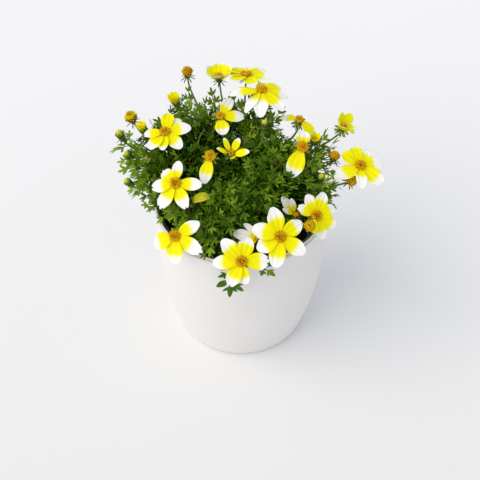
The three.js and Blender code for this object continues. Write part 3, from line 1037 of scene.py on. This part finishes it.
# What the small buds have instead of a look of their own
UPRIGHT_RAYS = [petal(60 * k, 8.5, 3.6, 2.0, lift=68, curl=-14) for k in range(6)]
SMALL_KINDS = {
    "open": {"size": (5.5, 6), "petals": UPRIGHT_RAYS},
    "closed": {"size": (6, 6), "petals": []},
    "curled": {"size": (17, 9), "petals": [], "clear": 9},
    "tiny": {"kind": "spent", "size": (3.0, 2.6), "petals": [], "tone": LIGHT_GREEN},
}


def make_bud(name, look, head, nodes=()):
    """A bud as one piece with its stem, and its petals as another."""
    width, height = look.get("drawn", look["size"])
    keep_clear(head, look.get("clear", width * 0.7))
    shape = BUD_KINDS[look["kind"]](width, height)
    if "tone" in look:
        shape = shape.with_values(tone=look["tone"])
    shape = head.put(shape)
    whole = joined([stem_shape(head.stem_path()), shape])
    make_piece(name, whole, "bud", nodes)
    if look["petals"]:
        rays = head.put(petals_of(look, BUD_PETAL_START))
        make_piece("petals_" + name, rays, "petals")


def make_buds():
    for name, look in BUDS.items():
        head = head_of(name, look["faces"], look["size"][1] + BUD_BASE)
        if "turned" in look:
            head = Head(look["turned"], head.at, head.root)
        make_bud(name, look, head, [name])
    for name, look in SMALL_BUDS.items():
        head = Head(look["faces"], look["at"], (*look["root"], ROOT_LEVEL))
        make_bud(name, {**look, **SMALL_KINDS[look["kind"]]}, head)


# Leaves


LOBE_PLACES = (0, 0.38, 0.75)
LOBE_WIDTHS = (0.34, 0.96, 0.8)
LEAF_SHADE = 0.14


def lobe_of(length, width, angle, place):
    """One lobe of a leaf, which leaves the middle line at a place and an angle."""
    made = blade(length, width, LOBE_PLACES, LOBE_WIDTHS, 0.26)
    turn = turn_z(angle) @ turn_y(random.uniform(-14, 10))
    return made.placed(turn, (place, 0, 0))


def pinna(stalk, lobes, lobe, width):
    """A side branch of a leaf, along +X, with one, three or five lobes round its end."""
    parts = [blade(stalk + 1.0, width * 0.45, (0, 0.9), (1, 0.8), 0.5)]
    parts.append(lobe_of(lobe * random.uniform(0.92, 1.1), width, either_way(5), stalk - 0.4))
    for k in range(lobes // 2):
        for side in (1, -1):
            angle = side * random.uniform(34, 46)
            size = lobe * (0.82 - 0.08 * k) * random.uniform(0.88, 1.1)
            parts.append(lobe_of(size, width * 0.92, angle, (stalk - 0.2) * (1 - 0.5 * k)))
    return joined(parts)


def leaf_shape(sizes, lobe=8.3, width=2.85, length=LEAF_LENGTH):
    """A feathery leaf along +X. sizes gives each pair of side branches its place along the
    leaf and its stalk, both as shares of the leaf, and its number of lobes."""
    parts = [blade(length * 0.74, width * 0.5, (0, 0.9), (1.0, 0.7), 0.6)]
    for place, reach, lobes in sizes:
        for side in (1, -1):
            branch = pinna(length * reach * random.uniform(0.85, 1.15), lobes, lobe, width)
            angle = side * (60 - 22 * place + either_way(5))
            turn = turn_z(angle) @ turn_x(-side * 14) @ turn_y(random.uniform(-12, 6))
            parts.append(branch.placed(turn, (place * length, 0, 0.1)))
    end = pinna(1.0, 3, lobe * 1.1, width)
    parts.append(end.placed(None, (length * 0.72, 0, 0)))
    made = joined(parts)
    return made.with_values(tone=LEAF_SHADE * (made.points[:, 0] / length - 0.5))


FULL = [(0.26, 0.26, 5), (0.50, 0.17, 3)]
HALF = [(0.32, 0.18, 3), (0.58, 0.07, 1)]
YOUNG = [(0.44, 0.09, 3)]


def leaf_kinds():
    """A few leaves of each kind, from the largest to the youngest."""
    return {
        "full": [leaf_shape(FULL) for _ in range(4)],
        "half": [leaf_shape(HALF) for _ in range(4)],
        "young": [leaf_shape(YOUNG) for _ in range(3)],
    }


OVATE_PLACES = (0, 0.18, 0.42, 0.68, 0.88)
OVATE_WIDTHS = (0.2, 0.72, 1, 0.8, 0.42)


def broad_leaf(length, width, side_lobes):
    """An ovate leaf, with two side lobes where it has them, as hangs over the rim."""
    stalk = blade(length * 0.5, 0.9, (0, 0.5, 0.95), (1, 0.9, 0.8), 0.5)
    middle = blade(length * 0.8, width, OVATE_PLACES, OVATE_WIDTHS, 0.2)
    parts = [stalk, middle.placed(None, (length * 0.2, 0, 0))]
    if side_lobes:
        side = blade(length * 0.46, width * 0.6, OVATE_PLACES, OVATE_WIDTHS, 0.2)
        for turn in (46, -46):
            parts.append(side.placed(turn_z(turn), (length * 0.3, 0, 0)))
    return joined(parts)


# Leaves of the two sprigs that hang over the rim: the place on the sprig, the way the leaf
# points, its length and width, and whether it has side lobes
HANGING_LEAVES = [
    (0.80, (-1.0, -0.25, 0.25), 10.0, 2.8, True),
    (0.88, (-1.0, -0.20, -0.35), 10.0, 3.2, True),
    (0.95, (-0.85, -0.15, -0.70), 14.5, 5.8, False),
    (0.99, (-0.05, -0.10, -1.0), 18.0, 4.6, True),
    (0.97, (0.75, -0.15, -0.80), 15.0, 4.2, True),
    (0.92, (0.95, -0.20, -0.45), 11.0, 3.0, False),
]
SHORT_SPRIG = [(6, -40, 125), (10, -50, 152), (13, -72, 152), (18, -78, 142)]
SHORT_SPRIG_LEAVES = [
    (0.85, (0.90, -0.30, -0.25), 9.0, 3.4, True),
    (0.97, (-0.35, -0.10, -1.0), 9.0, 3.2, True),
    (0.99, (0.85, -0.15, -0.70), 11.0, 3.8, True),
    (0.80, (-0.85, -0.30, -0.50), 9.0, 3.0, True),
]
OUTWARD = np.array([0, -1, 0.35])


def axes_along(way, upper):
    """Axes for a shape that grows along +X: it turns to a way, with its upper side as near to
    another way as it can be."""
    way = unit(way)
    normal = unit(upper - way * (upper @ way))
    return np.stack([way, np.cross(normal, way), normal], -1)


def sprig_leaves(path, leaves=HANGING_LEAVES):
    """The leaves of a sprig that hangs over the rim, with their upper sides outwards."""
    made = []
    for place, way, length, width, side_lobes in leaves:
        leaf = broad_leaf(length, width, side_lobes).bent(length, random.uniform(-5, 20))
        axes = axes_along(np.array(way, float), OUTWARD)
        leaf = leaf.placed(axes, path[int(place * (len(path) - 1))])
        made.append(leaf.with_values(tone=HANGING_TONE + either_way(0.12)))
    return made


def leaf_axes(stem_way, across, lean):
    """A leaf that leaves its stem at a lean, with its upper side towards the stem's tip."""
    a = math.radians(lean)
    return axes_along(stem_way * math.cos(a) + across * math.sin(a), stem_way)


LOOK_DOWN = math.radians(CAMERA_ELEVATION)
TOWARDS_CAMERA = np.array([0.0, -math.cos(LOOK_DOWN), math.sin(LOOK_DOWN)])
CAMERA_PLACE = (np.array(CAMERA_TARGET) + CAMERA_DISTANCE * TOWARDS_CAMERA) / MM
POT_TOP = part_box("cachepot")[1].z / MM
LIP_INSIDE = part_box("nursery_pot")[1].x / MM - LIP_WIDTH


def in_the_way(points):
    """Whether a leaf's points hide or cut a flower, or meet the pots."""
    for head in heads:
        ray = points - CAMERA_PLACE
        beyond = ((head.at - CAMERA_PLACE) @ head.facing) / (ray @ head.facing)
        meets = CAMERA_PLACE + ray * beyond[:, None]
        covers = np.linalg.norm(meets - head.at, axis=1) < head.reach * COVERED_SHARE
        if np.any(covers & (beyond > 1)):
            return True
        level = (points - head.at) @ head.facing
        spread = np.linalg.norm(points - head.at - level[:, None] * head.facing, axis=1)
        if np.any((np.abs(level) < CLEAR_GAP) & (spread < head.reach)):
            return True
    radius = np.hypot(points[:, 0], points[:, 1])
    return bool(np.any((points[:, 2] < POT_TOP + RIM_GAP) & (radius > LIP_INSIDE)))


def dome_point(turn, share):
    """A point on the foliage's dome, by how much of its area is passed in going round it
    and its share of the reach. Points spread evenly over both are even over the dome."""
    angles = np.arange(360)
    reaches, edges = np.array(
        [np.interp(angles, list(DOME), [d[k] for d in DOME.values()], period=360) for k in (0, 1)]
    )
    passed = np.cumsum(reaches**2) / np.sum(reaches**2)
    direction = np.interp(turn % 1.0, passed, angles)
    reach, edge = (np.interp(direction, angles, values) for values in (reaches, edges))
    a = math.radians(direction)
    height = CROWN_HEIGHT + (edge - CROWN_HEIGHT) * share**CROWN_SHAPE
    return np.array([reach * share * math.cos(a), reach * share * math.sin(a), height])


def leafy_path(root, tip):
    """The path of a leafy stem: up out of the soil, then outwards to its tip."""
    over = np.array([root[0], root[1], root[2] + (tip[2] - root[2]) * BEND_UP])
    bend = np.array([tip[0] * BEND_OUT, tip[1] * BEND_OUT, tip[2] - BEND_DROP])
    return bezier([root, over, bend, tip], PATH_STEPS)


def leaves_on(path, kinds, pairs, paler):
    """Pairs of leaves down from a path's tip, each crosswise to the next, and a young tuft."""
    ways, sides, ups = frames_along(path)
    steps = np.linalg.norm(np.diff(path, axis=0), axis=1)
    length = np.concatenate([[0], np.cumsum(steps)])
    start = random.uniform(0, 180)
    made = []
    for pair in range(pairs + 1):
        behind = LEAF_SPACING * pair * random.uniform(0.9, 1.1) + 1.0
        place = int(np.argmin(np.abs(length - (length[-1] - behind))))
        if length[-1] < behind + BARE_FOOT:
            break
        kind = "young" if pair == 0 else ("half" if pair == 1 else "full")
        size = PAIR_SIZES[min(pair, len(PAIR_SIZES) - 1)]
        for side in (0, 180) if pair else (0, 90, 180, 270):
            angle = math.radians(start + 90 * pair + side + either_way(14))
            across = sides[place] * math.cos(angle) + ups[place] * math.sin(angle)
            lean = random.uniform(*(LEAF_LEAN if pair else YOUNG_LEAN))
            leaf = kinds[kind][random.integers(len(kinds[kind]))]
            droop = random.uniform(*DROOP) + (0 if pair else YOUNG_DROOP)
            leaf = leaf.bent(LEAF_LENGTH, droop).scaled(size * random.uniform(0.85, 1.12))
            turn = leaf_axes(ways[place], across, lean) @ turn_x(either_way(LEAF_TWIST))
            leaf = leaf.placed(turn, path[place])
            if in_the_way(leaf.points[::POINTS_TESTED]):
                continue
            # Painted shade and light: lower pairs are darker inside the foliage and outer tips are
            # paler at its edge, over each leaf's own tone
            tone = PAIR_TONES_AND_PAINTED_SHADE[pair] + paler + either_way(TONE_SPREAD)
            made.append(leaf.with_values(tone=tone + leaf.values["tone"]))
    return made


def branch_shape(path):
    made = tube(path, np.linspace(BRANCH_THICK, BRANCH_THIN, len(path)), BRANCH_SIDES)
    return made.with_values(tone=BRANCH_TONE)


def stem_tips():
    """The tip of every leafy stem without a CAD node of its own, with its pairs of leaves and how
    much paler than others they are, which is painted light at the foliage's edge."""
    tips = []
    for k in range(BRANCHES):
        share = math.sqrt((k + 0.5) / BRANCHES)
        tip = dome_point(k * GOLDEN_ANGLE / 360, share) + either_way(3, 3)
        if share > OUTER_SHARE:
            tips.append((tip, OUTER_PAIRS, OUTER_PAINTED_LIGHT))
        else:
            tips.append((tip, INNER_PAIRS, 0.0))
    for place in EXTRA_TIPS:
        tips.append((np.array(place) + either_way(1.5, 3), OUTER_PAIRS, EXTRA_PAINTED_LIGHT))
    return tips


def foliage():
    """Every leafy shoot's shape, by its CAD node."""
    kinds = leaf_kinds()
    grown = {}
    tips = {}
    for name, (bend, tip) in SHOOTS.items():
        points = node_points("shoot_" + name)
        potted = np.hypot(points[:, 0], points[:, 1]) < LIP_INSIDE
        root = points[potted & (points[:, 2] < ROOT_LEVEL + TOUCH)].mean(0)
        over = root + UP * (bend[2] - root[2]) * ROOT_RISE
        path = bezier([root, over, bend, tip], PATH_STEPS)
        grown[name] = [branch_shape(path)]
        tips[name] = np.array(tip[:2], float)
        if name == "spill":
            grown[name] += sprig_leaves(path)
        else:
            grown[name] += leaves_on(path, kinds, OUTER_PAIRS, OUTER_PAINTED_LIGHT)
    short = bezier(SHORT_SPRIG, PATH_STEPS)
    grown["spill"] += [branch_shape(short), *sprig_leaves(short, SHORT_SPRIG_LEAVES)]
    for tip, pairs, paler in stem_tips():
        inward = random.uniform(*ROOT_SHARES)
        root = np.array([tip[0] * inward, tip[1] * inward, ROOT_LEVEL - 1])
        path = leafy_path(root, tip)
        name = min(tips, key=lambda n: np.linalg.norm(tips[n] - tip[:2]))
        leaves = leaves_on(path, kinds, pairs, paler)
        if leaves:
            grown[name] += [branch_shape(path), *leaves]
    return grown


def make_foliage():
    for name, shapes in foliage().items():
        node = "shoot_" + name
        make_piece(node, joined(shapes), "foliage", [node], smooth=False)


# Pots and soil


def pot_radius(z, base, rim, height):
    return base + (rim - base) * (1 - (1 - z / height) ** POT_BULGE)


def arc(middle, radius, start, end, count):
    """Points of a profile on an arc round a middle, between two angles in degrees."""
    angles = np.radians(np.linspace(start, end, count))
    return [(middle[0] + radius * math.cos(a), middle[1] + radius * math.sin(a)) for a in angles]


def make_cachepot():
    points = node_points("cachepot")
    base = np.hypot(*points[points[:, 2] < TOUCH][:, :2].T).max() + POT_EDGE
    high = np.array(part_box("cachepot")[1]) / MM
    rim, height = high[0], high[2]

    def side(wall, start, end):
        """The side's profile from one height to another, a wall's thickness in."""
        heights = np.linspace(start, end, POT_STEPS)
        return [(pot_radius(z, base, rim, height) - wall, z) for z in heights]

    edge = arc((base - POT_EDGE, POT_EDGE), POT_EDGE, -90, 0, 6)[:-1]
    outside = side(0.0, POT_EDGE, height - 0.9)
    lip_middle = (rim - POT_RIM_ROUND, height - POT_RIM_ROUND)
    lip = arc(lip_middle, POT_RIM_ROUND, POT_RIM_FROM, 180 - POT_RIM_FROM, 9)
    inside = side(POT_WALL, height - 1.2, POT_FLOOR + 2)
    profile = [(0, 0), *edge, *outside, *lip, *inside, (inside[-1][0] - 2, POT_FLOOR)]
    shape = turned([*profile, (0, POT_FLOOR)], POT_SIDES)
    make_piece("cachepot", shape, "cachepot", ["cachepot"])


def make_grower_pot():
    low, high = (np.array(c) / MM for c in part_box("nursery_pot"))
    lip, top, bottom = high[0], high[2], low[2]
    shoulder = top - LIP_HEIGHT
    ends = (GROWER_FOOT, bottom), (GROWER_NECK, shoulder - 1)
    slope = np.linspace(*ends, GROWER_STEPS).tolist()
    bead = arc((lip - LIP_BEAD, top - LIP_BEAD), LIP_BEAD, 0, 180, 8)
    back = [(r - LIP_WALL, z + LIP_WALL * 0.3) for r, z in reversed(slope)]
    profile = [(0, bottom), *slope, (lip - 0.5, shoulder), (lip - 0.3, shoulder + 1)]
    profile += [*bead, (lip - 1.6, top - 2), (lip - 2.2, shoulder + 1.4)]
    profile += [(GROWER_NECK - 0.6, shoulder), *back, (0, bottom + LIP_WALL)]
    shape = turned(profile, POT_SIDES)
    make_piece("nursery_pot", shape, "nursery_pot", ["nursery_pot"])


def clod(size):
    """A rough lump of peat or perlite."""
    outline = [(0, -0.6), (0.7, -0.4), (1, 0.1), (0.6, 0.6), (0, 0.75)]
    made = turned([(r * size, z * size) for r, z in outline], 6)
    made.points *= random.uniform(0.75, 1.25, made.points.shape)
    return made


def make_soil():
    low, high = (np.array(c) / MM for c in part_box("soil"))
    level, bottom, reach = high[2], low[2], high[0]
    turn = round_turn(SOIL_SIDES)
    ring = np.stack([np.cos(turn), np.sin(turn), np.zeros(SOIL_SIDES)], -1) * reach
    rows = [ring * SOIL_FOOT + UP * bottom]
    for share in np.linspace(1, SOIL_MIDDLE, SOIL_RINGS):
        sink = SOIL_SINK * max(0.0, (share - SOIL_SINKS_FROM) / (1 - SOIL_SINKS_FROM))
        bumps = random.uniform(*SOIL_BUMPS, SOIL_SIDES)
        rows.append(ring * share + UP * (level - sink + bumps)[:, None])
    parts = [skin(rows, (0, 0, bottom), (0, 0, level)).with_values(light=0.0)]
    for _ in range(CLODS):
        out = reach * CLOD_REACH * math.sqrt(random.random())
        a = random.uniform(0, 2 * np.pi)
        at = (out * math.cos(a), out * math.sin(a), level - CLOD_SINK)
        pale = 1.0 if random.random() < PERLITE_SHARE else 0.0
        lump = clod(random.uniform(*CLOD_SIZES) * (PERLITE_SIZE if pale else 1.0))
        parts.append(lump.placed(turn_z(random.uniform(0, 360)), at).with_values(light=pale))
    make_piece("soil", joined(parts), "soil", ["soil"], smooth=False)


# Scene


def aim(thing, place, way):
    """Puts a camera or a light at a place, from where it looks along a way."""
    thing.location = place
    thing.rotation_mode = "QUATERNION"
    thing.rotation_quaternion = way.to_track_quat("-Z", "Y")


def make_camera():
    data = bpy.data.cameras.new("camera")
    data.lens = CAMERA_LENS
    data.sensor_width = CAMERA_SENSOR
    camera = in_scene("camera", data)
    place = Vector(CAMERA_PLACE * MM)
    aim(camera, place, Vector(CAMERA_TARGET) - place)
    bpy.context.scene.camera = camera


def make_light():
    world = bpy.data.worlds.new("studio")
    bpy.context.scene.world = world
    world.use_nodes = True
    background = world.node_tree.nodes["Background"]
    background.inputs["Color"].default_value = (*WORLD_COLOUR, 1)
    background.inputs["Strength"].default_value = WORLD_STRENGTH
    data = bpy.data.lights.new("key", "SUN")
    data.energy = KEY_STRENGTH
    data.color = KEY_COLOUR
    data.angle = math.radians(KEY_SPREAD)
    aim(in_scene("key", data), KEY_PLACE, -Vector(KEY_PLACE))
    bpy.context.scene.view_settings.view_transform = "Standard"


def make_floor():
    """A pale floor, which isn't part of the object, with painted shade that darkens it towards the
    front and the right and painted light that brightens it towards the back.
    """
    paint = Paint("studio_floor", 0.8, 0.1)
    place = paint.node("ShaderNodeTexCoord").outputs["Object"]
    parts = paint.node("ShaderNodeSeparateXYZ", {"Vector": place}).outputs
    aside = paint.math("MULTIPLY", parts["X"], -FLOOR_SLANT)
    away = paint.math("ADD", parts["Y"], aside)
    away = paint.math("ADD", away, paint.ranged(paint.noise(3, 2), 0.3, 0.7, -0.03, 0.03))
    paint.colour(paint.ramp(paint.ranged(away, -FLOOR_NEAR, FLOOR_FAR), FLOOR_PAINTED_SHADE))
    mesh = bpy.data.meshes.new("floor")
    turn = round_turn(FLOOR_SIDES)
    ring = [(FLOOR_RADIUS * math.cos(a), FLOOR_RADIUS * math.sin(a), 0.0) for a in turn]
    mesh.from_pydata(ring, [], [list(range(FLOOR_SIDES))])
    mesh.materials.append(paint.material)
    floor = in_scene("floor", mesh)


def main():
    make_camera()
    make_light()
    make_floor()
    materials.update(
        cachepot=pot_material(),
        nursery_pot=grower_material(),
        soil=soil_material(),
        stem=tone_material("bidens_stem", roughness=0.55, grain=220, depth=0.1),
        bud=tone_material("bidens_bud", roughness=0.6, grain=300, depth=0.15),
        disc=tone_material("bidens_disc", roughness=0.7, grain=400, depth=0.1),
        petals=petal_material(),
        foliage=leaf_material(),
    )
    make_cachepot()
    make_grower_pot()
    make_soil()
    for name, look in [*FLOWERS.items(), *SMALL_FLOWERS.items()]:
        make_flower(name, look)
    make_buds()
    make_foliage()


main()
